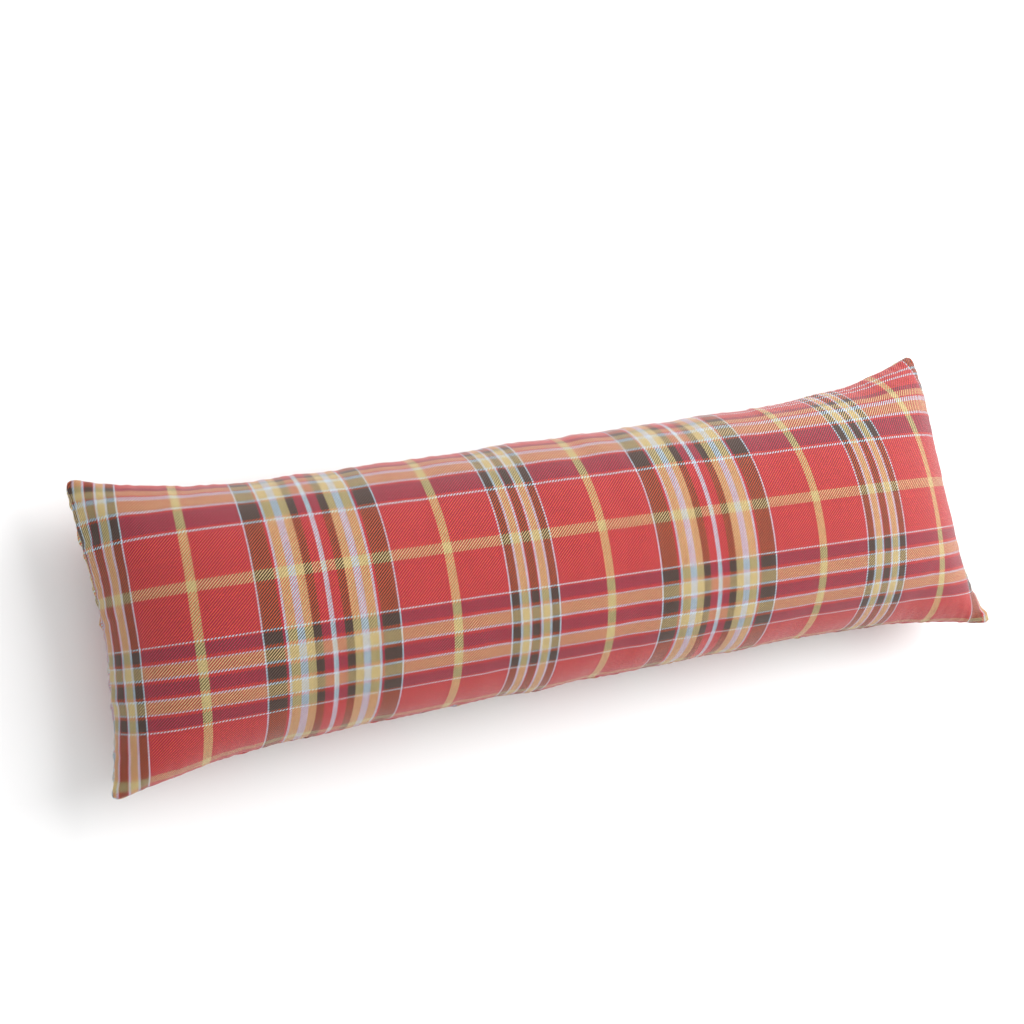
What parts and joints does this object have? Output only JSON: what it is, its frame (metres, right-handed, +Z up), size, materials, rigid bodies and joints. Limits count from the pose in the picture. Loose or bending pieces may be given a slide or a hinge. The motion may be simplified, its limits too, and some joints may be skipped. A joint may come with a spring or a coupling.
{
  "type": "lumbar pillow",
  "caption": "Long lumbar pillow lying on its back: one filled cloth form with a full crown, knife-edge seams, drawn-in sides and soft pointed corners.",
  "frame": {"origin": "middle of the flat underside that the pillow rests on", "axes": "+X along the long side, +Y across the pillow, +Z up out of its face"},
  "size_m": [1.0538, 0.3354, 0.1601],
  "materials": {
    "checked_cloth": "matt yarn-dyed two-by-two twill, red ground checked in black, straw and light blue"
  },
  "bodies": {
    "root": {"cushion": "checked_cloth"}
  },
  "joints": []
}
